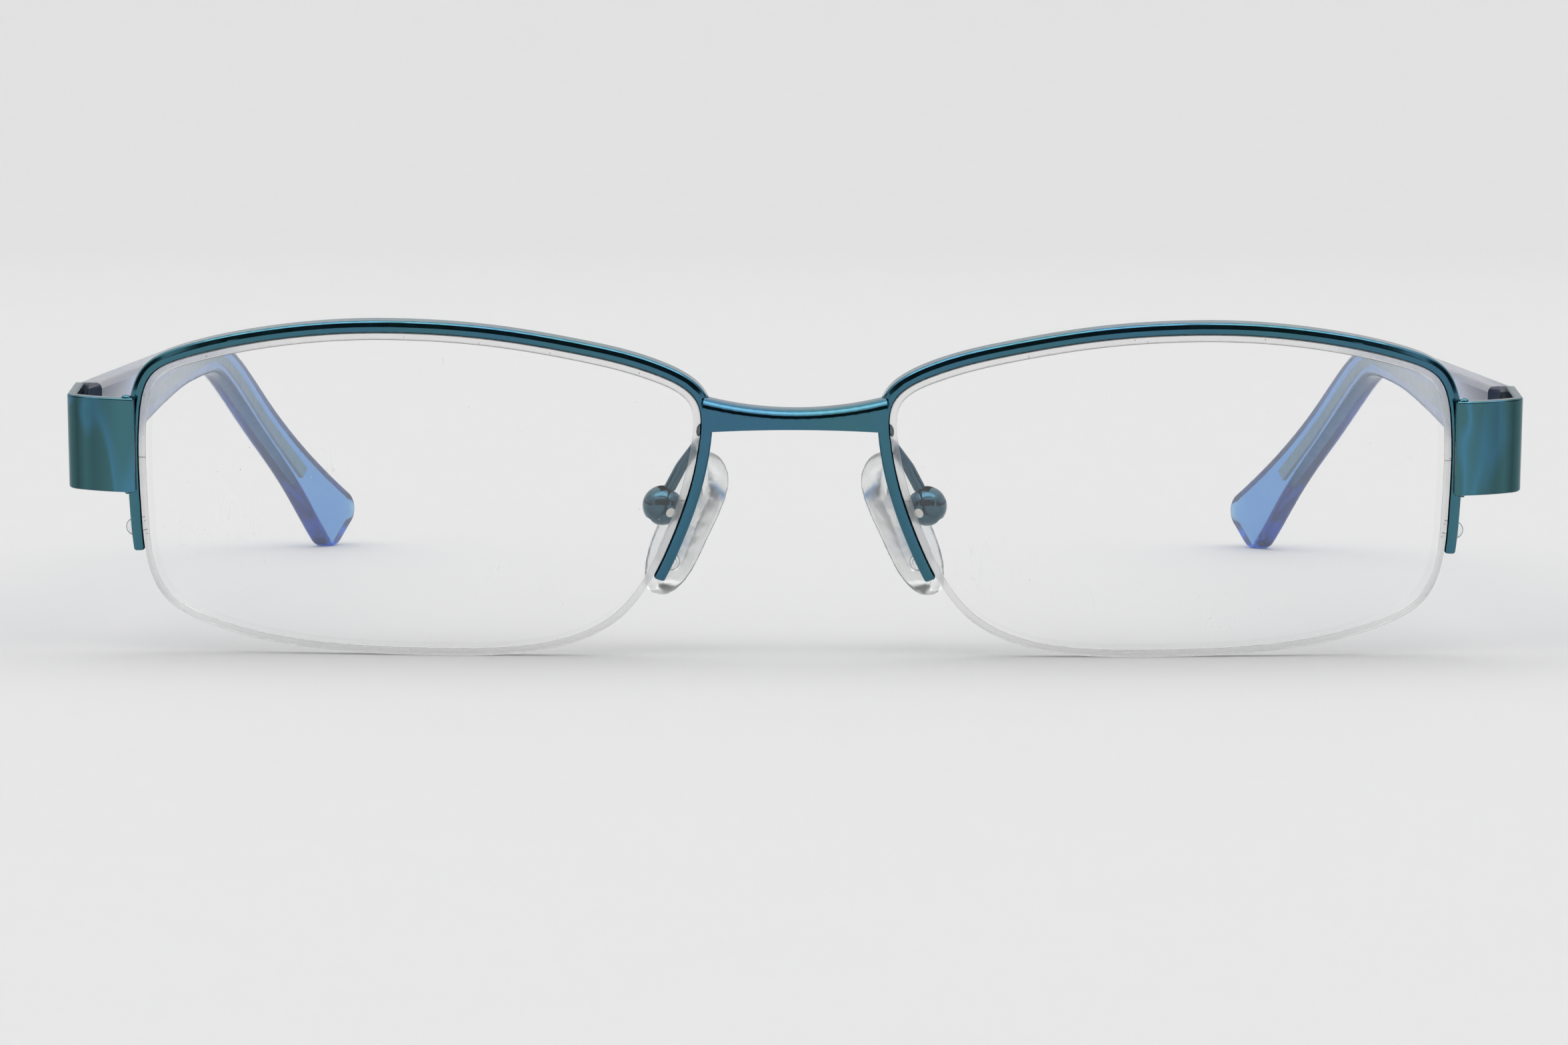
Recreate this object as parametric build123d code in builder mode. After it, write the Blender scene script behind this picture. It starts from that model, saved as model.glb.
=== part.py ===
from build123d import *
import os
from math import cos, radians, sin, sqrt

# Half-rim eyeglasses, 52-17-140, standing open on the lenses and the temple tips.
# +X is the wearer's left, the front looks along -Y, the temples run back along +Y,
# and Z = 0 is the surface that the glasses stand on.  Every paired piece is modelled
# for the wearer's left side and mirrored for the right.

# ---- Driving dimensions: millimetres and degrees ----
front_tilt = 8.0            # the top of the front leans forward of its foot
front_foot = (0, -65.1, 0.04)   # where the front's plane meets the surface
clearance = 0.05            # between pieces that sit in or beside each other

lens_curve_radius = 130.0
lens_face_form = 4.0        # each lens is turned outwards by this angle
lens_middle = (34.6, 15.0)
lens_thickness = 1.8
lens_outline = [            # as seen from the front, up from the lowest point
    (32.5, 0.0), (46.4, 0.6), (54.2, 2.35), (58.0, 4.45), (60.15, 12.8), (60.15, 21.3),
    (58.95, 25.35), (55.6, 27.15), (49.5, 28.7), (43.0, 29.65), (36.7, 29.95), (28.0, 29.5),
    (19.5, 28.1), (12.6, 26.15), (9.05, 23.65), (8.8, 20.0), (11.4, 10.9), (15.75, 3.8),
]
lens_top = 10               # the outline's highest point, by its place in the list
groove_depth = 0.65
groove_width = 0.66

rim_width = 1.1
rim_depth = 2.0
rim_facet = (0.5, 0.18)     # round its outer front edge: width, and how far it falls back
rim_rounding = 0.28
nasal_tip = (12.35, 7.1)
nasal_tip_lean = 25.0       # the cut across the nasal leg, from the horizontal
temporal_tip = (60.8, 8.85)
temporal_tip_lean = -10.5

liner_nasal_end = 14.5
liner_temporal_end = 17.65
cord_diameter = 0.5
cord_hole_diameter = 0.62
cord_loop_start = 0.35      # where a loop leaves the straight, out from the rim's middle
nasal_cord_hole = (11.7, 8.9)
temporal_cord_hole = (60.55, 11.1)
cord_hole_spacing = 1.2

bridge_half_length = 8.4
bridge_thickness = 1.9
bridge_top = (23.2, 24.15)  # height in the middle, and at the ends
bridge_bottom = (21.45, 21.05)
bridge_bow = (-1.5, -0.8)   # how far behind the front its face is, in the middle and at the ends
bridge_rounding = 0.95

end_plate_thickness = 0.9
end_plate_inner = 60.6
end_plate_outer = 67.0
end_plate_bottom = 14.6
end_plate_height = 8.8
end_plate_corner = 1.5
end_plate_face = [(end_plate_inner, 2.6), (63.4, 3.1), (end_plate_outer - 0.8, 4.2)]
edge_rounding = 0.2
parting = 10.9              # the hinge's plane, behind the front

hinge_barrel_radius = 1.3
hinge_screw_radius = 0.6
hinge_head_radius = 1.05
hinge_head_height = 0.5
hinge_slot_width = 0.3
hinge_bottom = 16.7
hinge_height = 4.5
hinge_root = 7.2            # how far behind the front the hinge's block begins
knuckle_gap = 0.06

temple_thickness = 2.5
temple_rounding = 0.6
temple_tip_rounding = 2.2
crown_start = 24.65         # heights of the temple's edges where it begins
belly_start = 15.9
temple_belly = [(12.0, 16.2), (38.0, 18.4), (66.0, 20.5)]
ear_top = [(94.0, 25.2), (104.0, 23.6), (115.0, 17.7), (126.0, 10.7), (136.4, 4.5)]
ear_bottom = [(94.0, 21.8), (102.3, 19.7), (112.9, 13.9), (122.4, 7.1), (130.4, -0.75)]
temple_plan_points = [      # its outer face, from where it leaves the straight
    (end_plate_outer, 32.0), (66.9, 60.0), (65.8, 93.0), (61.9, 114.0), (51.7, 138.5),
]
core_start = 13.0
core_edges = (0.36, 0.64)   # its top and bottom, as shares of the temple's height
core_depth = 0.8
core_thickness = 0.9

leaf_thickness = 0.9
leaf_start = 9.95
leaf_length = 9.5
leaf_height = 4.2
leaf_level = 20.3
leaf_rounding = 1.2
rivet_radius = 0.6
rivet_depth = 0.8           # into the temple
rivet_proud = 0.15
rivet_places = [(13.0, leaf_level), (16.8, leaf_level)]

pad_pivot = (12.35, 12.5, -8.2)
pad_frontal_angle = 23.0
pad_splay_angle = 28.0
pad_outline = [             # up the pad and towards its rear edge, from the screw
    (5.9, -0.6), (4.5, -3.0), (-1.3, -3.5), (-6.1, -2.7),
    (-8.5, 0.2), (-6.1, 2.9), (-1.3, 3.5), (4.5, 3.2),
]
pad_thickness = 2.4
pad_rounding = 0.9
pad_stand_off = 3.2         # from the screw's axis to the middle of the pad
pad_insert_size = (9.0, 3.2, 0.6)
pad_insert_middle = -1.3
pad_box_radius = 1.85
pad_slot_depth = 1.1        # how far the slot goes past the screw's axis
pad_tab_thickness = 1.1
pad_tab_radius = 0.9
pad_screw_radius = 0.45
pad_screw_head_radius = 0.75
pad_screw_head_height = 0.3
pad_screw_seat_depth = 0.1  # of the flat on the ball that the head sits on
pad_arm_radius = 0.55
pad_arm_route = [(8.45, 18.6, -1.8), (8.8, 18.9, -6.4), (10.6, 16.2, -8.0), (12.35, 12.8, -8.4)]
pad_arm_bend = 1.6

temple_inner = end_plate_outer - temple_thickness
hinge_x = temple_inner - hinge_barrel_radius - clearance
hinge_inner_face = end_plate_outer - end_plate_thickness
knuckle_height = hinge_height / 3
leaf_face = temple_inner - leaf_thickness
even = (1, 1)               # end tangents at a spline's own pace keep it free of kinks
front_reach = 12            # outlines reach this far either side of the front

# ---- Planes ----
# A place on the front is (u, v, w): u along X, v up the leaning front, w out of it.
front = Plane(
    origin=front_foot,
    x_dir=(1, 0, 0),
    z_dir=(0, -cos(radians(front_tilt)), -sin(radians(front_tilt))),
)
# Outlines on it start well behind it, and are cut right through.
behind = front.offset(-front_reach)
# Sections across the front: (u, distance behind the front).
across = Plane(origin=front_foot, x_dir=(1, 0, 0), z_dir=front.y_dir)
# The temples lie level: side view is (Y, Z), plan is (X, Y), both from the foot.
side = Plane(origin=(0, front_foot[1], 0), x_dir=(0, 1, 0), z_dir=(1, 0, 0))
ground = Plane(origin=(0, front_foot[1], 0))

outward = Axis((0, 0, 0), front.z_dir)
upward = Axis((0, 0, 0), front.y_dir)

curve_centre = (
    lens_middle[0] - lens_curve_radius * sin(radians(lens_face_form)),
    lens_middle[1],
    -lens_curve_radius * cos(radians(lens_face_form)),
)


def at(u, v, w):
    """The point (u, v, w) of the front, in the frame of the whole."""
    return front.from_local_coords((u, v, w))


def along(u, v, w):
    """The direction (u, v, w) of the front, in the frame of the whole."""
    return at(u, v, w) - at(0, 0, 0)


def lens_surface(u, v):
    """How far in front of the front plane the middle of the lens lies at (u, v)."""
    across_u = u - curve_centre[0]
    across_v = v - curve_centre[1]
    return sqrt(lens_curve_radius**2 - across_u**2 - across_v**2) + curve_centre[2]


outline_points = (lens_outline[: lens_top + 1], [*lens_outline[lens_top:], lens_outline[0]])
with BuildLine():
    temporal_half = Spline(*outline_points[0], tangents=[(1, 0), (-1, 0)], tangent_scalars=even)
    nasal_half = Spline(*outline_points[1], tangents=[(-1, 0), (1, 0)], tangent_scalars=even)


def grown_outline(growth):
    """The lens outline, grown all round by the given width, as a sketch well behind the front."""
    with BuildSketch(behind) as outline:
        with BuildLine():
            for points, half in zip(outline_points, (temporal_half, nasal_half)):
                slopes = [half.tangent_at(point) for point in points]
                outer = [
                    Vector(*point) + slope.rotate(Axis.Z, -90) * growth
                    for point, slope in zip(points, slopes)
                ]
                Spline(*outer, tangents=(slopes[0], slopes[-1]), tangent_scalars=even)
        make_face()
    return outline.sketch


def ring(outer, inner, depth):
    """A ring between two growths of the lens outline, as deep as given, on the lens's curve."""
    with BuildPart() as result:
        extrude(grown_outline(outer), amount=2 * front_reach)
        extrude(grown_outline(inner), amount=2 * front_reach, mode=Mode.SUBTRACT)
        with Locations(at(*curve_centre)):
            Sphere(lens_curve_radius + depth / 2, mode=Mode.INTERSECT)
            Sphere(lens_curve_radius - depth / 2, mode=Mode.SUBTRACT)
    return result.part


def save_pair(part, name):
    """Write a piece of the left side, and its mirror image for the right side."""
    for hand, piece in (("left", part), ("right", part.mirror(Plane.YZ))):
        piece.label = f"{hand}_{name}"
        export_step(piece, f"parts/{hand}_{name}.step")


os.makedirs("parts", exist_ok=True)

# ---- Rims: a bar round the top of each lens, with a leg down each side ----
with BuildSketch(behind) as below_rim:
    with BuildLine():
        nasal_cut = PolarLine(nasal_tip, 3, nasal_tip_lean)
        temporal_cut = PolarLine(temporal_tip, 4, 180 + temporal_tip_lean)
        Polyline(nasal_cut @ 1, (35, 8), temporal_cut @ 1)
        nasal_out = PolarLine(nasal_tip, 6, 180 + nasal_tip_lean)
        temporal_out = PolarLine(temporal_tip, 4, temporal_tip_lean)
        nasal_corner = nasal_out @ 1 - Vector(0, 9)
        temporal_corner = temporal_out @ 1 - Vector(0, 14)
        Polyline(nasal_out @ 1, nasal_corner, temporal_corner, temporal_out @ 1)
    make_face()

# The cord threads two holes through the end of each leg.
cord_planes = []
for hole, lean in ((nasal_cord_hole, nasal_tip_lean + 180), (temporal_cord_hole, temporal_tip_lean)):
    cord_planes.append(
        Plane(
            origin=at(*hole, lens_surface(*hole)),
            x_dir=along(cos(radians(lean)), sin(radians(lean)), 0),
            z_dir=front.z_dir,
        )
    )

with BuildPart() as rim:
    add(ring(clearance + rim_width, clearance, rim_depth))
    extrude(below_rim.sketch, amount=2 * front_reach, mode=Mode.SUBTRACT)
    rim_front = rim.faces().filter_by(GeomType.SPHERE).sort_by(outward)[-1]
    long_edges = rim_front.edges().filter_by(lambda edge: edge.length > 10 * rim_width)
    outer_edges = long_edges.sort_by(lambda edge: (edge @ 0.5 - at(*lens_middle, 0)).length)[-2:]
    chamfer(outer_edges, *rim_facet, reference=rim_front)
    fillet(rim.edges(), rim_rounding)
    for plane in cord_planes:
        for shift in (-cord_hole_spacing / 2, cord_hole_spacing / 2):
            with BuildSketch(Plane(origin=plane.from_local_coords((-2, shift, 0)), z_dir=plane.x_dir)):
                Circle(cord_hole_diameter / 2)
            extrude(amount=4, mode=Mode.SUBTRACT)
save_pair(rim.part, "rim")

# ---- Lenses, the liner in the upper half of their groove and the cord in the lower ----
with BuildPart() as lens:
    extrude(grown_outline(0), amount=2 * front_reach)
    with Locations(at(*curve_centre)):
        Sphere(lens_curve_radius + lens_thickness / 2, mode=Mode.INTERSECT)
        Sphere(lens_curve_radius - lens_thickness / 2, mode=Mode.SUBTRACT)
    add(ring(1, -groove_depth, groove_width), mode=Mode.SUBTRACT)
save_pair(lens.part, "lens")

with BuildSketch(behind) as liner_span:
    with BuildLine():
        Polyline(
            (0, liner_nasal_end), (34, liner_nasal_end), (34, liner_temporal_end),
            (66, liner_temporal_end), (66, 40), (0, 40), close=True,
        )
    make_face()

groove_fill = ring(clearance / 2, clearance - groove_depth, groove_width - clearance)

with BuildPart() as liner:
    add(groove_fill)
    extrude(liner_span.sketch, amount=2 * front_reach, mode=Mode.INTERSECT)
save_pair(liner.part, "rim_liner")

with BuildPart() as cord:
    add(groove_fill)
    extrude(liner_span.sketch, amount=2 * front_reach, mode=Mode.SUBTRACT)
    for plane in cord_planes:
        half = cord_hole_spacing / 2
        with BuildLine(plane) as loop:
            Line((-0.85, -half), (cord_loop_start, -half))
            CenterArc((cord_loop_start, 0), half, -90, 180)
            Line((cord_loop_start, half), (-0.85, half))
        with BuildSketch(Plane(origin=loop.line @ 0, z_dir=plane.x_dir)):
            Circle(cord_diameter / 2)
        sweep(path=loop.line)
save_pair(cord.part, "lens_cord")

# ---- Bridge: a bowed bar soldered to the front of both rims ----
with BuildPart() as bridge:
    with BuildSketch(front):
        with BuildLine():
            top, bottom = [
                ThreePointArc((-bridge_half_length, ends), (0, middle), (bridge_half_length, ends))
                for middle, ends in (bridge_top, bridge_bottom)
            ]
            Line(top @ 0, bottom @ 0)
            Line(top @ 1, bottom @ 1)
        make_face()
    extrude(amount=6, both=True)
    with BuildSketch(across.offset(15)):
        with BuildLine():
            ThreePointArc(
                (-bridge_half_length, bridge_bow[1]),
                (0, bridge_bow[0]),
                (bridge_half_length, bridge_bow[1]),
            )
            offset(amount=bridge_thickness, side=Side.LEFT)
        make_face()
    extrude(amount=15, mode=Mode.INTERSECT)
    long_edges = bridge.edges().filter_by(lambda edge: edge.length > 2 * bridge_half_length)
    fillet(long_edges.sort_by(outward)[-2:].sort_by(upward)[-1], bridge_rounding)
    add(rim.part, mode=Mode.SUBTRACT)
    add(rim.part.mirror(Plane.YZ), mode=Mode.SUBTRACT)
bridge.part.label = "bridge"
export_step(bridge.part, "parts/bridge.step")

# ---- End pieces: a wide plate soldered to the rim, bent back to meet the temple ----
with BuildPart() as end_piece:
    with BuildSketch(across.offset(end_plate_bottom)):
        with BuildLine():
            face = ThreePointArc(*end_plate_face)
            corner = JernArc(face @ 1, face % 1, end_plate_corner, 90 - face.tangent_angle_at(1))
            Line(corner @ 1, ((corner @ 1).X, parting))
            offset(amount=end_plate_thickness, side=Side.LEFT)
        make_face()
    extrude(amount=end_plate_height)
    fillet(end_piece.edges(), edge_rounding)
    add(rim.part, mode=Mode.SUBTRACT)
save_pair(end_piece.part, "end_piece")

# ---- Hinges: three knuckles on an axis square to the front's lean ----
with BuildPart() as front_hinge:
    with BuildSketch(across.offset(hinge_bottom)):
        with BuildLine():
            Polyline(
                (hinge_x, parting - hinge_barrel_radius), (hinge_inner_face - 1, hinge_root),
                (hinge_inner_face, hinge_root), (hinge_inner_face, parting), (hinge_x, parting), close=True,
            )
        make_face()
        with Locations((hinge_x, parting)):
            Circle(hinge_barrel_radius)
    extrude(amount=hinge_height)
    with BuildSketch(across.offset(hinge_bottom + knuckle_height)):
        with Locations((hinge_x, parting)):
            Circle(hinge_barrel_radius + 2 * knuckle_gap)
    extrude(amount=knuckle_height, mode=Mode.SUBTRACT)
    with BuildSketch(across.offset(hinge_bottom)):
        with Locations((hinge_x, parting)):
            Circle(hinge_screw_radius)
    extrude(amount=hinge_height, mode=Mode.SUBTRACT)
    add(end_piece.part, mode=Mode.SUBTRACT)
save_pair(front_hinge.part, "front_hinge")

with BuildPart() as hinge_screw:
    with BuildSketch(across.offset(hinge_bottom)):
        with Locations((hinge_x, parting)):
            Circle(hinge_screw_radius)
    extrude(amount=hinge_height)
    with BuildSketch(across.offset(hinge_bottom + hinge_height)):
        with Locations((hinge_x, parting)):
            Circle(hinge_head_radius)
    extrude(amount=hinge_head_height)
    fillet(hinge_screw.edges().filter_by(GeomType.CIRCLE).sort_by(upward)[-1], 0.2)
    with BuildSketch(across.offset(hinge_bottom + hinge_height + hinge_head_height)):
        with Locations((hinge_x, parting)):
            Rectangle(3 * hinge_head_radius, hinge_slot_width)
    extrude(amount=-hinge_head_height / 2, mode=Mode.SUBTRACT)
save_pair(hinge_screw.part, "hinge_screw")


def temple_point(blend, index):
    """A point between the ear's top edge (blend 0) and its bottom edge (blend 1)."""
    return Vector(*ear_top[index]) * (1 - blend) + Vector(*ear_bottom[index]) * blend


def temple_plan(outer, inner):
    """The temple's plan between two depths in from its outer face, as a sketch below the ground."""
    with BuildSketch(ground.offset(-5)) as plan:
        with BuildLine():
            edges = []
            for depth in (outer, inner):
                inset = Vector(depth, 0)
                straight = Line(Vector(end_plate_outer, 4) - inset, Vector(*temple_plan_points[0]) - inset)
                bend = Spline(
                    *[Vector(*point) - inset for point in temple_plan_points],
                    tangents=[(0, 1), (-0.45, 0.9)],
                    tangent_scalars=even,
                )
                edges.append((straight, bend))
            Line(edges[0][0] @ 0, edges[1][0] @ 0)
            Line(edges[0][1] @ 1, edges[1][1] @ 1)
        make_face()
    return plan.sketch


# ---- Temples: moulded arms, tallest at the hinge, that bend down behind the ear ----
with BuildPart() as temple_core:
    with BuildSketch(side) as strip:
        with BuildLine():
            ends = []
            for blend in core_edges:
                straight = Line(
                    (core_start, crown_start + (belly_start - crown_start) * blend), temple_point(blend, 0)
                )
                bend = Spline(
                    *[temple_point(blend, index) for index in range(len(ear_top) - 1)],
                    tangents=[(1, 0.02), (0.8, -0.6)],
                    tangent_scalars=even,
                )
                ends.append((straight, bend))
            Line(ends[0][0] @ 0, ends[1][0] @ 0)
            Line(ends[0][1] @ 1, ends[1][1] @ 1)
        make_face()
    extrude(amount=80)
    extrude(temple_plan(core_depth, core_depth + core_thickness), amount=40, mode=Mode.INTERSECT)
save_pair(temple_core.part, "temple_core")

with BuildPart() as temple:
    with BuildSketch(side) as profile:
        with BuildLine():
            crown = Line((4, crown_start), ear_top[0])
            crown_bend = Spline(*ear_top, tangents=[(1, 0), (0.78, -0.45)], tangent_scalars=even)
            belly = Spline((4, belly_start), *temple_belly, ear_bottom[0])
            belly_bend = Spline(*ear_bottom, tangents=[belly % 1, (0.75, -0.66)], tangent_scalars=even)
            Line(crown @ 0, belly @ 0)
            Line(crown_bend @ 1, belly_bend @ 1)
        make_face()
        fillet(profile.vertices().sort_by(Axis.X)[-2:], temple_tip_rounding)
    extrude(amount=80)
    extrude(temple_plan(0, temple_thickness), amount=40, mode=Mode.INTERSECT)
    split(bisect_by=front.offset(-parting - clearance), keep=Keep.BOTTOM)
    butt = temple.faces().sort_by(Axis.Y)[0]
    fillet(temple.edges() - butt.edges(), temple_rounding)
    add(temple_core.part, mode=Mode.SUBTRACT)
    for place in rivet_places:
        with BuildSketch(side.offset(temple_inner + rivet_depth)):
            with Locations(place):
                Circle(rivet_radius)
        extrude(amount=-2, mode=Mode.SUBTRACT)
save_pair(temple.part, "temple")

# ---- Temple halves of the hinges, held to the temples by two rivets each ----
with BuildPart() as temple_hinge:
    with BuildSketch(side.offset(leaf_face)) as leaf:
        with Locations((leaf_start, leaf_level)):
            Rectangle(leaf_length, leaf_height, align=(Align.MIN, Align.CENTER))
        fillet(leaf.vertices().sort_by(Axis.X)[-2:], leaf_rounding)
    extrude(amount=leaf_thickness)
    with BuildSketch(across.offset(hinge_bottom + knuckle_height + knuckle_gap)):
        with BuildLine():
            Polyline(
                (hinge_x + 0.4, parting), (hinge_x + 1.3, parting),
                (hinge_x + 1.3, parting + 3), (hinge_x + 0.4, parting + 3), close=True,
            )
        make_face()
        with Locations((hinge_x, parting)):
            Circle(hinge_barrel_radius)
    extrude(amount=knuckle_height - 2 * knuckle_gap)
    with BuildSketch(across.offset(hinge_bottom)):
        with Locations((hinge_x, parting)):
            Circle(hinge_screw_radius + clearance)
    extrude(amount=hinge_height, mode=Mode.SUBTRACT)
    for place in rivet_places:
        with BuildSketch(side.offset(temple_inner + rivet_depth)):
            with Locations(place):
                Circle(rivet_radius)
        extrude(amount=-5, mode=Mode.SUBTRACT)
save_pair(temple_hinge.part, "temple_hinge")

with BuildPart() as hinge_rivets:
    for place in rivet_places:
        with BuildSketch(side.offset(temple_inner + rivet_depth)):
            with Locations(place):
                Circle(rivet_radius)
        extrude(amount=leaf_face - rivet_proud - temple_inner - rivet_depth)
save_pair(hinge_rivets.part, "hinge_rivets")

# ---- Nose pads: a soft pad round a stiff insert, whose tab rocks on a screw in the box ----
pad_up = (-sin(radians(pad_frontal_angle)), cos(radians(pad_frontal_angle)), 0)
pad_face = (
    -cos(radians(pad_splay_angle)) * cos(radians(pad_frontal_angle)),
    -cos(radians(pad_splay_angle)) * sin(radians(pad_frontal_angle)),
    -sin(radians(pad_splay_angle)),
)
# x runs up the pad, y along the screw to the rear, z towards the nose
pad_plane = Plane(origin=at(*pad_pivot), x_dir=along(*pad_up), z_dir=along(*pad_face))
screw_plane = Plane(origin=pad_plane.origin, x_dir=pad_plane.x_dir, z_dir=pad_plane.y_dir)
pad_screw_seat = screw_plane.offset(pad_box_radius - pad_screw_seat_depth)

with BuildPart() as pad_insert:
    with BuildSketch(pad_plane.offset(pad_stand_off - pad_insert_size[2] / 2)):
        with Locations((pad_insert_middle, 0)):
            SlotOverall(pad_insert_size[0], pad_insert_size[1])
    extrude(amount=pad_insert_size[2])
    with BuildSketch(pad_plane):
        Rectangle(2 * pad_tab_radius, pad_tab_thickness)
    extrude(amount=pad_stand_off)
    with BuildSketch(screw_plane):
        Circle(pad_tab_radius)
    extrude(amount=pad_tab_thickness / 2, both=True)
    with BuildSketch(screw_plane):
        Circle(pad_screw_radius + clearance)
    extrude(amount=pad_tab_thickness, both=True, mode=Mode.SUBTRACT)
save_pair(pad_insert.part, "pad_insert")

with BuildPart() as nose_pad:
    with BuildSketch(pad_plane.offset(pad_stand_off - pad_thickness / 2)):
        with BuildLine():
            Spline(*pad_outline, periodic=True)
        make_face()
    extrude(amount=pad_thickness)
    fillet(nose_pad.edges(), pad_rounding)
    add(pad_insert.part, mode=Mode.SUBTRACT)
save_pair(nose_pad.part, "nose_pad")

with BuildPart() as pad_box:
    with Locations(pad_plane.origin):
        Sphere(pad_box_radius)
    with BuildSketch(pad_plane.offset(-pad_slot_depth)):
        Rectangle(3 * pad_box_radius, pad_tab_thickness + 2 * clearance)
    extrude(amount=2 * pad_box_radius, mode=Mode.SUBTRACT)
    with BuildSketch(screw_plane):
        Circle(pad_screw_radius)
    extrude(amount=2 * pad_box_radius, both=True, mode=Mode.SUBTRACT)
    with BuildSketch(pad_screw_seat):
        Circle(pad_screw_head_radius)
    extrude(amount=pad_screw_head_height, mode=Mode.SUBTRACT)
save_pair(pad_box.part, "pad_box")

with BuildPart() as pad_screw:
    with BuildSketch(screw_plane):
        Circle(pad_screw_radius)
    extrude(amount=pad_box_radius, both=True)
    with BuildSketch(pad_screw_seat):
        Circle(pad_screw_head_radius)
    extrude(amount=pad_screw_head_height)
save_pair(pad_screw.part, "pad_screw")

with BuildPart() as pad_arm:
    with BuildLine() as route:
        FilletPolyline(*[at(*place) for place in pad_arm_route], radius=pad_arm_bend)
    with BuildSketch(Plane(origin=route.line @ 0, z_dir=route.line % 0)):
        Circle(pad_arm_radius)
    sweep(path=route.line)
    with Locations(pad_plane.origin):
        Sphere(pad_box_radius, mode=Mode.SUBTRACT)
    add(rim.part, mode=Mode.SUBTRACT)
save_pair(pad_arm.part, "pad_arm")
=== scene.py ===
from math import cos, pi, radians, sin

import bmesh
import bpy
from mathutils import Matrix, Vector, noise
from mathutils.bvhtree import BVHTree


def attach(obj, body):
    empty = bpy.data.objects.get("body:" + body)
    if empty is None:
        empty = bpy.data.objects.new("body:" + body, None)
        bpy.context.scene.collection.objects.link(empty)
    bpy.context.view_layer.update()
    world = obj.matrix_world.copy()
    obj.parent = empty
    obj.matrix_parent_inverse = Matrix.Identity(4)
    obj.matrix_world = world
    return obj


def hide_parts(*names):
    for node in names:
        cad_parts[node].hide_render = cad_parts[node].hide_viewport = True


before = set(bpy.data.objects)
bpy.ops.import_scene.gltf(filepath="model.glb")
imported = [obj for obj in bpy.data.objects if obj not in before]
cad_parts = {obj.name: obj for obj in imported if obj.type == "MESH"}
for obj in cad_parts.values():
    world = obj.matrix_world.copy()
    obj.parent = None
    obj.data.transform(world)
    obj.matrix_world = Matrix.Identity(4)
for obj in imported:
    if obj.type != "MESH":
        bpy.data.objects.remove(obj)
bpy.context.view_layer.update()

MM = 0.001
SIDES = (("left", 1), ("right", -1))

# The foot of the leaning front, and the lens's curve.
FRONT_FOOT = Vector((0, -65.1, 0.04)) * MM
FRONT_TILT = radians(8)
LENS_RADIUS = 130 * MM
LENS_FACE_FORM = radians(4)
LENS_MIDDLE = (34.6 * MM, 15 * MM)
LENS_THICKNESS = 1.8 * MM
POLISHED_FROM_MIDDLE = 0.48 * LENS_THICKNESS    # the groove and the edge are nearer the lens's middle

# Where the painted shade bands across the end plate's bend begin, and the width they are spread over.
PLATE_BEND_START = 61 * MM      # out from the middle of the front
PLATE_BEND_WIDTH = 6.25 * MM
CORE_GAP = 0.05 * MM            # a temple face nearer its core than this belongs to the hollow
WELD_GAP = 0.001 * MM
SHARP_EDGE = radians(35)
PAD_VOXEL = 0.28 * MM
PAD_SMOOTHING_STEPS = 14

# Solder at the rim: name, its middle across, up and out of the front, half its length and half its
# width in mm, and its turn in degrees.
SOLDER = (
    ("bridge_top", 8.15, 23.75, -0.75, 0.75, 0.42, 60),
    ("bridge_foot", 8.75, 21.0, -0.9, 0.6, 0.3, 100),
    ("plate_top", 61.25, 23.3, -3.2, 0.5, 0.36, 15),
    ("plate_foot", 61.45, 14.75, -3.7, 0.5, 0.3, 95),
)
BEAD_UNEVENNESS = 0.08
BEAD_LUMPS = 2.2                # lumps of unevenness to a bead's radius
BEAD_SPREAD = 900               # sets beads apart in the noise, so that each is uneven in its own way

CAMERA_DISTANCE = 484.5 * MM    # in front of the front's foot
CAMERA_HEIGHT = 47.5 * MM
CAMERA_SIDE = -0.99 * MM
CAMERA_PITCH = radians(4.152)
CAMERA_ROLL = radians(0.15)
CAMERA_LENS = 121.5
CAMERA_SENSOR = 36

# The studio: a bowl of paper, a plain white sky, and cards that only show in reflections and
# through clear pieces. All in metres.
BOWL_FLAT = 1.7
BOWL_BEND = 1.0
BOWL_WALL = 1.2
BOWL_SIDES = 96
BOWL_BEND_STEPS = 24
BOWL_CENTRE = 0.05
SKY_STRENGTH = 1.25
DARK_CARD = 0.03
SOFTBOX = 3.2

FRAME_BLUE = (0.05, 0.165, 0.26)
FRAME_GREEN = (0.052, 0.175, 0.225)
# Painted shade: the frame's blue and green made darker, standing in for the dark reflections on the pad
# boxes.
SHADED_BOX_BLUE = (0.028, 0.095, 0.15)
SHADED_BOX_GREEN = (0.03, 0.10, 0.14)
PLATE_GREEN = (0.055, 0.165, 0.185)
PLATE_BLUE = (0.065, 0.22, 0.33)
WHITE = (1.0, 1.0, 1.0)


def at(u, v, w):
    """The place u along the front, v up it and w out of it."""
    tilt_cos, tilt_sin = cos(FRONT_TILT), sin(FRONT_TILT)
    return FRONT_FOOT + Vector((u, -v * tilt_sin - w * tilt_cos, v * tilt_cos - w * tilt_sin))


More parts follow.
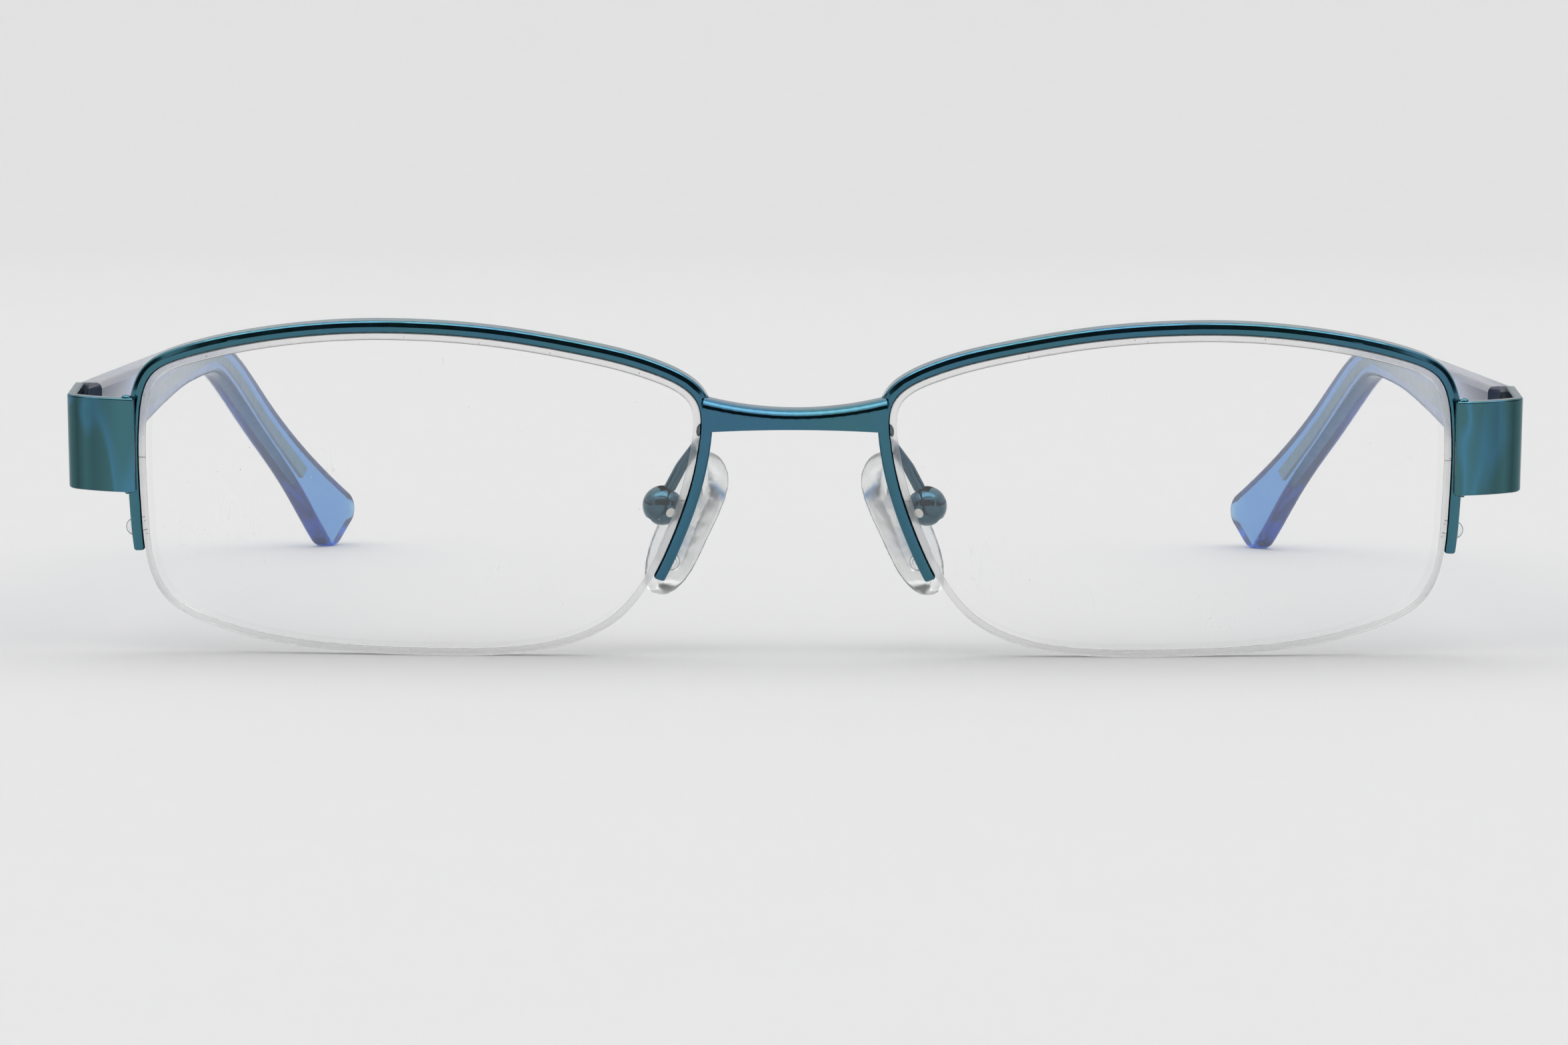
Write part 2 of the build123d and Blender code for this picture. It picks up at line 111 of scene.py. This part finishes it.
# ---- Node-based materials ----
class Shader:
    """A Principled material with short calls for the nodes that vary it. Scales are per metre."""

    def __init__(self, name, **values):
        self.material = bpy.data.materials.new(name)
        self.material.use_nodes = True
        self.nodes = self.material.node_tree.nodes
        self.principled = self.nodes["Principled BSDF"]
        for socket, value in values.items():
            self.principled.inputs[socket.replace("_", " ")].default_value = value
        self.place = self.add("ShaderNodeTexCoord").outputs["Object"]

    def add(self, kind, **settings):
        node = self.nodes.new(kind)
        for name, value in settings.items():
            setattr(node, name, value)
        return node

    def link(self, output, target):
        socket = self.principled.inputs[target] if isinstance(target, str) else target
        self.material.node_tree.links.new(output, socket)

    def stretched(self, scale, turn=(0, 0, 0)):
        mapping = self.add("ShaderNodeMapping")
        mapping.inputs["Scale"].default_value = scale
        mapping.inputs["Rotation"].default_value = turn
        self.link(self.place, mapping.inputs["Vector"])
        return mapping.outputs["Vector"]

    def noise(self, scale, detail=2.0, place=None, distortion=0.0):
        node = self.add("ShaderNodeTexNoise")
        node.inputs["Scale"].default_value = scale
        node.inputs["Detail"].default_value = detail
        node.inputs["Distortion"].default_value = distortion
        self.link(place or self.place, node.inputs["Vector"])
        return node.outputs["Fac"]

    def specks(self, scale, size):
        """1 inside round specks, spread at random, and 0 between them."""
        node = self.add("ShaderNodeTexVoronoi")
        node.inputs["Scale"].default_value = scale
        self.link(self.place, node.inputs["Vector"])
        return self.ramp(node.outputs["Distance"], (0.6 * size, 1.0), (size, 0.0))

    def ramp(self, value, *stops):
        """value through a ramp whose stops are (position, grey)."""
        node = self.add("ShaderNodeValToRGB")
        elements = node.color_ramp.elements
        while len(elements) < len(stops):
            elements.new(0.5)
        for element, (position, grey) in zip(elements, stops):
            element.position = position
            element.color = (grey, grey, grey, 1)
        self.link(value, node.inputs["Fac"])
        return node.outputs["Color"]

    def maths(self, operation, first, second=0):
        node = self.add("ShaderNodeMath", operation=operation)
        for socket, value in zip(node.inputs, (first, second)):
            if isinstance(value, (int, float)):
                socket.default_value = value
            else:
                self.link(value, socket)
        return node.outputs["Value"]

    def mixed(self, share, first, second):
        """A colour that goes from first to second as share goes from 0 to 1."""
        node = self.add("ShaderNodeMix", data_type="RGBA")
        self.link(share, node.inputs["Factor"])
        node.inputs[6].default_value = (*first, 1)
        node.inputs[7].default_value = (*second, 1)
        return node.outputs[2]

    def multiplied(self, first, second):
        """The product of two colours."""
        node = self.add("ShaderNodeMix", data_type="RGBA", blend_type="MULTIPLY")
        node.inputs["Factor"].default_value = 1.0
        self.link(first, node.inputs[6])
        self.link(second, node.inputs[7])
        return node.outputs[2]

    def bump(self, height, strength, distance):
        node = self.add("ShaderNodeBump")
        node.inputs["Strength"].default_value = strength
        node.inputs["Distance"].default_value = distance
        self.link(height, node.inputs["Height"])
        self.link(node.outputs["Normal"], "Normal")


def coated_metal(name, smoothest, roughest):
    """Metal under a clear coat, with the unevenness of the coat but no colour yet."""
    shader = Shader(name, Metallic=1.0, Coat_Weight=0.25, Coat_Roughness=0.03, Coat_IOR=1.5)
    haze = shader.noise(scale=600, detail=4.0)
    shader.link(shader.ramp(haze, (0.3, smoothest), (0.7, roughest)), "Roughness")
    shader.bump(shader.noise(scale=2500), strength=0.05, distance=0.02 * MM)
    return shader


def enamel(name, blue, green):
    """A tinted clear coating over polished metal, whose hue drifts between blue and green."""
    shader = coated_metal(name, smoothest=0.10, roughest=0.17)
    hue = shader.ramp(shader.noise(scale=70, detail=1.0), (0.40, 0.0), (0.60, 1.0))
    grain = shader.ramp(shader.noise(scale=9000, detail=3.0), (0.3, 0.88), (0.7, 1.0))
    shader.link(shader.multiplied(shader.mixed(hue, blue, green), grain), "Base Color")
    return shader.material


def plate_enamel():
    """The same coating on a wide plate: greener, streaked with blue, and darker in bands towards its
    bend, which is painted shade for the sides its rounded corner reflects.
    """
    shader = coated_metal("plate_enamel", smoothest=0.09, roughest=0.16)
    drift = shader.noise(scale=230, detail=1.0, place=shader.stretched((1, 1, 0.25)), distortion=0.5)
    streaks = shader.ramp(drift, (0.47, 0.0), (0.52, 1.0), (0.60, 0.15))
    place = shader.add("ShaderNodeSeparateXYZ")
    shader.link(shader.place, place.inputs["Vector"])
    outward = shader.maths("ABSOLUTE", place.outputs["X"])
    past_start = shader.maths("SUBTRACT", outward, PLATE_BEND_START)
    bend = shader.maths("MULTIPLY", past_start, 1 / PLATE_BEND_WIDTH)
    # Painted shade: dark bands across the bend, standing in for the darker sides that the rounded corner
    # reflects.
    shade = shader.ramp(bend, (0.15, 1.0), (0.55, 0.62), (0.68, 0.8), (0.80, 0.42), (0.9, 0.75))
    colour = shader.mixed(streaks, PLATE_GREEN, PLATE_BLUE)
    shader.link(shader.multiplied(colour, shade), "Base Color")
    return shader.material


def steel(name, colour, roughness):
    """Turned or rolled steel with fine lines and a little tarnish."""
    shader = Shader(name, Metallic=1.0)
    lines = shader.noise(scale=4000, place=shader.stretched((1, 1, 6)))
    tarnish = shader.ramp(shader.noise(scale=900, detail=3.0), (0.35, 0.75), (0.65, 1.0))
    tarnished = tuple(0.6 * channel for channel in colour)
    shader.link(shader.mixed(tarnish, tarnished, colour), "Base Color")
    shader.link(shader.ramp(lines, (0.2, roughness - 0.08), (0.8, roughness + 0.1)), "Roughness")
    shader.bump(lines, strength=0.15, distance=0.02 * MM)
    return shader.material


def lens_faces():
    """Polished clear plastic with sparse dust and hairline scratches."""
    shader = Shader("lens_polished", IOR=1.5)
    dusty = shader.ramp(shader.noise(scale=60), (0.52, 0.0), (0.60, 1.0))
    dust = shader.maths("MULTIPLY", shader.specks(scale=900, size=0.05), dusty)
    grit = shader.specks(scale=260, size=0.02)
    drawn_out = shader.stretched((7, 1, 2), (0, radians(50), 0))
    hairline = shader.noise(scale=160, detail=0.0, place=drawn_out, distortion=0.3)
    scratch = shader.ramp(hairline, (0.4990, 0.0), (0.5, 1.0), (0.5010, 0.0))
    scratched = shader.ramp(shader.noise(scale=90), (0.60, 0.0), (0.66, 0.3))
    scratches = shader.maths("MULTIPLY", scratch, scratched)
    marked = shader.maths("MAXIMUM", shader.maths("MAXIMUM", dust, grit), scratches)
    shader.link(shader.ramp(marked, (0.0, 0.0), (1.0, 0.4)), "Roughness")
    shader.link(shader.mixed(marked, WHITE, (0.88, 0.88, 0.90)), "Base Color")
    shader.link(shader.ramp(marked, (0.0, 1.0), (1.0, 0.6)), "Transmission Weight")
    return shader.material


def ground_glass(name, grain_scale):
    """Clear plastic with a matt surface, such as the ground edge and groove of a lens."""
    shader = Shader(name, Transmission_Weight=1.0, IOR=1.5)
    grain = shader.noise(scale=grain_scale, detail=3.0)
    shader.link(shader.mixed(grain, (0.97, 0.97, 0.97), WHITE), "Base Color")
    shader.link(shader.ramp(grain, (0.3, 0.02), (0.7, 0.22)), "Roughness")
    shader.bump(grain, strength=0.15, distance=0.01 * MM)
    return shader.material


def clear_strip(name, dirt_colour):
    """Clear nylon line or liner, with dirt in tiny specks."""
    shader = Shader(name, Transmission_Weight=0.95, IOR=1.5)
    dirt = shader.specks(scale=900, size=0.08)
    shader.link(shader.mixed(dirt, WHITE, dirt_colour), "Base Color")
    shader.link(shader.ramp(shader.noise(scale=1500), (0.3, 0.05), (0.7, 0.2)), "Roughness")
    return shader.material


def temple_plastic():
    """Polished clear blue plastic: pale over the core, and deep where light goes the long way."""
    shader = Shader("temple_plastic", Transmission_Weight=0.9, IOR=1.49)
    drawn_out = shader.stretched((1, 0.25, 1))
    cloud = shader.noise(scale=140, detail=3.0, place=drawn_out, distortion=0.5)
    shader.link(shader.mixed(cloud, (0.50, 0.76, 0.95), (0.74, 0.91, 1.0)), "Base Color")
    shader.link(shader.ramp(shader.noise(scale=1200, detail=4.0), (0.3, 0.08), (0.75, 0.2)), "Roughness")
    shader.bump(shader.noise(scale=300), strength=0.06, distance=0.1 * MM)
    absorption = shader.add("ShaderNodeVolumeAbsorption")
    absorption.inputs["Color"].default_value = (0.0, 0.50, 0.86, 1)
    absorption.inputs["Density"].default_value = 620
    shader.link(absorption.outputs["Volume"], shader.nodes["Material Output"].inputs["Volume"])
    return shader.material


def pad_silicone():
    """Clear soft silicone, faintly frosted and yellow-green where it is thick."""
    shader = Shader("pad_silicone", Transmission_Weight=0.93, IOR=1.41)
    frost = shader.noise(scale=700, detail=4.0)
    shader.link(shader.mixed(frost, (0.955, 0.97, 0.96), (0.985, 0.99, 0.985)), "Base Color")
    shader.link(shader.ramp(frost, (0.3, 0.06), (0.75, 0.2)), "Roughness")
    shader.bump(shader.noise(scale=450), strength=0.1, distance=0.05 * MM)
    return shader.material


def assign(node, material):
    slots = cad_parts[node].data.materials
    slots.clear()
    slots.append(material)


# ---- Camera ----
camera_data = bpy.data.cameras.new("camera")
camera_data.lens = CAMERA_LENS
camera_data.sensor_width = CAMERA_SENSOR
camera = bpy.data.objects.new("camera", camera_data)
camera.location = FRONT_FOOT + Vector((CAMERA_SIDE, -CAMERA_DISTANCE, CAMERA_HEIGHT - FRONT_FOOT.z))
camera_aim = Matrix.Rotation(pi / 2 - CAMERA_PITCH, 3, "X")
camera.rotation_euler = (camera_aim @ Matrix.Rotation(CAMERA_ROLL, 3, "Z")).to_euler()
bpy.context.scene.collection.objects.link(camera)
bpy.context.scene.camera = camera


# ---- Floor and light ----
def paper_bowl(material):
    """A round sheet of paper, flat in the middle, whose rim curves up into a wall all round."""
    section = [(BOWL_CENTRE, 0.0), (BOWL_FLAT, 0.0)]
    for step in range(1, BOWL_BEND_STEPS + 1):
        turn = pi / 2 * step / BOWL_BEND_STEPS
        section.append((BOWL_FLAT + BOWL_BEND * sin(turn), BOWL_BEND * (1 - cos(turn))))
    section.append((BOWL_FLAT + BOWL_BEND, BOWL_BEND + BOWL_WALL))
    turns = [2 * pi * side / BOWL_SIDES for side in range(BOWL_SIDES)]
    points = [
        (radius * cos(turn), radius * sin(turn), height)
        for radius, height in section
        for turn in turns
    ]
    faces = [tuple(reversed(range(BOWL_SIDES)))]
    for ring in range(len(section) - 1):
        start, above = ring * BOWL_SIDES, (ring + 1) * BOWL_SIDES
        for side in range(BOWL_SIDES):
            other = (side + 1) % BOWL_SIDES
            faces.append((start + side, start + other, above + other, above + side))
    data = bpy.data.meshes.new("floor")
    data.from_pydata(points, [], faces)
    data.materials.append(material)
    for face in data.polygons:
        face.use_smooth = True
    made = bpy.data.objects.new("floor", data)
    bpy.context.scene.collection.objects.link(made)


def reflection_card(name, size, place, aim, brightness):
    """A glowing card that the camera doesn't see: dark when its brightness is low, else a softbox."""
    glow = bpy.data.materials.new(name)
    glow.use_nodes = True
    nodes = glow.node_tree.nodes
    nodes.remove(nodes["Principled BSDF"])
    emission = nodes.new("ShaderNodeEmission")
    emission.inputs["Color"].default_value = (1, 1, 1, 1)
    emission.inputs["Strength"].default_value = brightness
    glow.node_tree.links.new(emission.outputs["Emission"], nodes["Material Output"].inputs["Surface"])
    data = bpy.data.meshes.new(name)
    half_x, half_y = size[0] / 2, size[1] / 2
    data.from_pydata(
        [(-half_x, -half_y, 0), (half_x, -half_y, 0), (half_x, half_y, 0), (-half_x, half_y, 0)],
        [], [(0, 1, 2, 3)],
    )
    data.materials.append(glow)
    made = bpy.data.objects.new(name, data)
    made.location = place
    made.rotation_euler = (Vector(place) - Vector(aim)).to_track_quat("Z", "Y").to_euler()
    bpy.context.scene.collection.objects.link(made)
    made.visible_camera = False
    made.visible_diffuse = False
    made.visible_shadow = False


paper = Shader("paper", Roughness=0.9, Specular_IOR_Level=0.1)
fibres = paper.noise(scale=60, detail=3.0)
paper.link(paper.mixed(fibres, (0.775, 0.775, 0.777), (0.785, 0.785, 0.785)), "Base Color")
paper_bowl(paper.material)
reflection_card("room_card", (2.6, 0.95), (0, -1.35, 0.58), (0, 0, 0.05), DARK_CARD)
reflection_card("top_softbox", (1.6, 0.5), (0, -0.35, 1.0), (0, 0, 0), SOFTBOX)
for side, sign in SIDES:
    reflection_card(f"{side}_card", (0.7, 0.5), (sign * 1.15, -0.45, 0.27), (0, 0, 0.02), DARK_CARD)

world = bpy.data.worlds.new("studio")
world.use_nodes = True
sky = world.node_tree.nodes["Background"]
sky.inputs["Color"].default_value = (1, 1, 1, 1)
sky.inputs["Strength"].default_value = SKY_STRENGTH
bpy.context.scene.world = world
bpy.context.scene.view_settings.view_transform = "Standard"


# ---- Materials of the CAD pieces ----
frame_enamel = enamel("frame_enamel", FRAME_BLUE, FRAME_GREEN)
wide_enamel = plate_enamel()
# Painted shade: the frame enamel in darker colours for the dark reflections on the pad boxes; the pad
# arms share it.
shaded_box_enamel = enamel("shaded_box_enamel", SHADED_BOX_BLUE, SHADED_BOX_GREEN)
hinge_silver = steel("hinge_silver", (0.62, 0.62, 0.61), roughness=0.28)
screw_silver = steel("screw_silver", (0.72, 0.70, 0.66), roughness=0.22)
core_steel = steel("core_steel", (0.95, 0.76, 0.60), roughness=0.35)
lens_polished = lens_faces()
lens_ground = ground_glass("lens_ground", grain_scale=14000)
liner_clear = clear_strip("liner_clear", dirt_colour=(0.25, 0.24, 0.22))
cord_clear = clear_strip("cord_clear", dirt_colour=(0.7, 0.7, 0.68))
insert_clear = ground_glass("insert_clear", grain_scale=800)
temple_blue = temple_plastic()
pad_clear = pad_silicone()

PIECE_MATERIALS = {
    "rim": frame_enamel,
    "end_piece": wide_enamel,
    "pad_arm": shaded_box_enamel,
    "pad_box": shaded_box_enamel,
    "front_hinge": hinge_silver,
    "temple_hinge": hinge_silver,
    "hinge_screw": screw_silver,
    "hinge_rivets": screw_silver,
    "pad_screw": screw_silver,
    "temple_core": core_steel,
    "rim_liner": liner_clear,
    "lens_cord": cord_clear,
    "pad_insert": insert_clear,
}
assign("bridge", frame_enamel)
for side, sign in SIDES:
    for piece, material in PIECE_MATERIALS.items():
        assign(f"{side}_{piece}", material)


# ---- Lenses, temples, pads and solder ----
def grind_edges(side, sign):
    """Polished faces on the lens's two curved sides, ground ones on its edge and in its groove."""
    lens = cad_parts[f"{side}_lens"]
    lens.data.materials.clear()
    lens.data.materials.append(lens_polished)
    lens.data.materials.append(lens_ground)
    centre = at(
        LENS_MIDDLE[0] - LENS_RADIUS * sin(LENS_FACE_FORM),
        LENS_MIDDLE[1],
        -LENS_RADIUS * cos(LENS_FACE_FORM),
    )
    centre.x *= sign
    for face in lens.data.polygons:
        from_middle = abs((face.center - centre).length - LENS_RADIUS)
        face.material_index = 0 if from_middle > POLISHED_FROM_MIDDLE else 1


def new_piece(name, data, body):
    made = bpy.data.objects.new(name, data)
    bpy.context.scene.collection.objects.link(made)
    for face in data.polygons:
        face.use_smooth = True
    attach(made, body)
    return made


def temple_shell(side):
    """The temple without the hollow that its core fills, so that the core shows through it."""
    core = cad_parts[f"{side}_temple_core"].data
    core_tree = BVHTree.FromPolygons(
        [vertex.co for vertex in core.vertices], [face.vertices for face in core.polygons]
    )
    shell = bmesh.new()
    shell.from_mesh(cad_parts[f"{side}_temple"].data)
    bmesh.ops.remove_doubles(shell, verts=shell.verts, dist=WELD_GAP)
    hollow = [
        face for face in shell.faces
        if core_tree.find_nearest(face.calc_center_median())[3] < CORE_GAP
    ]
    bmesh.ops.delete(shell, geom=hollow, context="FACES")
    bmesh.ops.holes_fill(shell, edges=[edge for edge in shell.edges if edge.is_boundary])
    bmesh.ops.recalc_face_normals(shell, faces=shell.faces)
    data = bpy.data.meshes.new(f"{side}_temple_shell")
    shell.to_mesh(data)
    shell.free()
    data.materials.append(temple_blue)
    made = new_piece(f"{side}_temple_shell", data, f"{side}_temple")
    data.set_sharp_from_angle(angle=SHARP_EDGE)
    made.modifiers.new("even_shading", "WEIGHTED_NORMAL").keep_sharp = True
    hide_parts(f"{side}_temple")


def soft_pad(side):
    """A moulded pad, crowned and soft-edged, closed round its insert."""
    hull = bmesh.new()
    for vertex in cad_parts[f"{side}_nose_pad"].data.vertices:
        hull.verts.new(vertex.co)
    result = bmesh.ops.convex_hull(hull, input=hull.verts, use_existing_faces=False)
    left_out = result["geom_interior"] + result["geom_unused"]
    inner = {item for item in left_out if isinstance(item, bmesh.types.BMVert)}
    bmesh.ops.delete(hull, geom=list(inner), context="VERTS")
    data = bpy.data.meshes.new(f"{side}_soft_pad")
    hull.to_mesh(data)
    hull.free()
    data.materials.append(pad_clear)
    made = new_piece(f"{side}_soft_pad", data, f"{side}_nose_pad")
    remesh = made.modifiers.new("even", "REMESH")
    remesh.mode = "VOXEL"
    remesh.voxel_size = PAD_VOXEL
    smooth = made.modifiers.new("crown", "SMOOTH")
    smooth.factor = 0.5
    smooth.iterations = PAD_SMOOTHING_STEPS
    rounded = made.modifiers.new("rounded", "SUBSURF")
    rounded.levels = rounded.render_levels = 1
    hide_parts(f"{side}_nose_pad")


def solder_bead(name, place, radii, turn):
    """A smooth, slightly uneven bead of solder under the enamel, astride two pieces of the front."""
    bead = bmesh.new()
    bmesh.ops.create_icosphere(bead, subdivisions=3, radius=1)
    spin = Matrix.Rotation(turn, 3, "Z")
    across = at(1, 0, 0) - at(0, 0, 0)
    upward = at(0, 1, 0) - at(0, 0, 0)
    outward = at(0, 0, 1) - at(0, 0, 0)
    for vertex in bead.verts:
        lump = noise.noise(BEAD_LUMPS * vertex.co + Vector(place) * BEAD_SPREAD)
        local = spin @ Vector([unit * radius for unit, radius in zip(vertex.co, radii)])
        offset = across * local.x + upward * local.y + outward * local.z
        vertex.co = at(*place) + offset * (1 + BEAD_UNEVENNESS * lump)
    data = bpy.data.meshes.new(name)
    bead.to_mesh(data)
    bead.free()
    data.materials.append(frame_enamel)
    new_piece(name, data, "front")


def solder_beads(side, sign):
    """Beads at the corners where the bridge and the end plate meet the rim."""
    for name, u, v, w, half_length, half_width, turn in SOLDER:
        solder_bead(
            f"{side}_{name}_solder",
            (sign * u * MM, v * MM, w * MM),
            (half_length * MM, half_width * MM, half_width * MM),
            sign * radians(turn),
        )


for side, sign in SIDES:
    solder_beads(side, sign)
    grind_edges(side, sign)
    temple_shell(side)
    soft_pad(side)
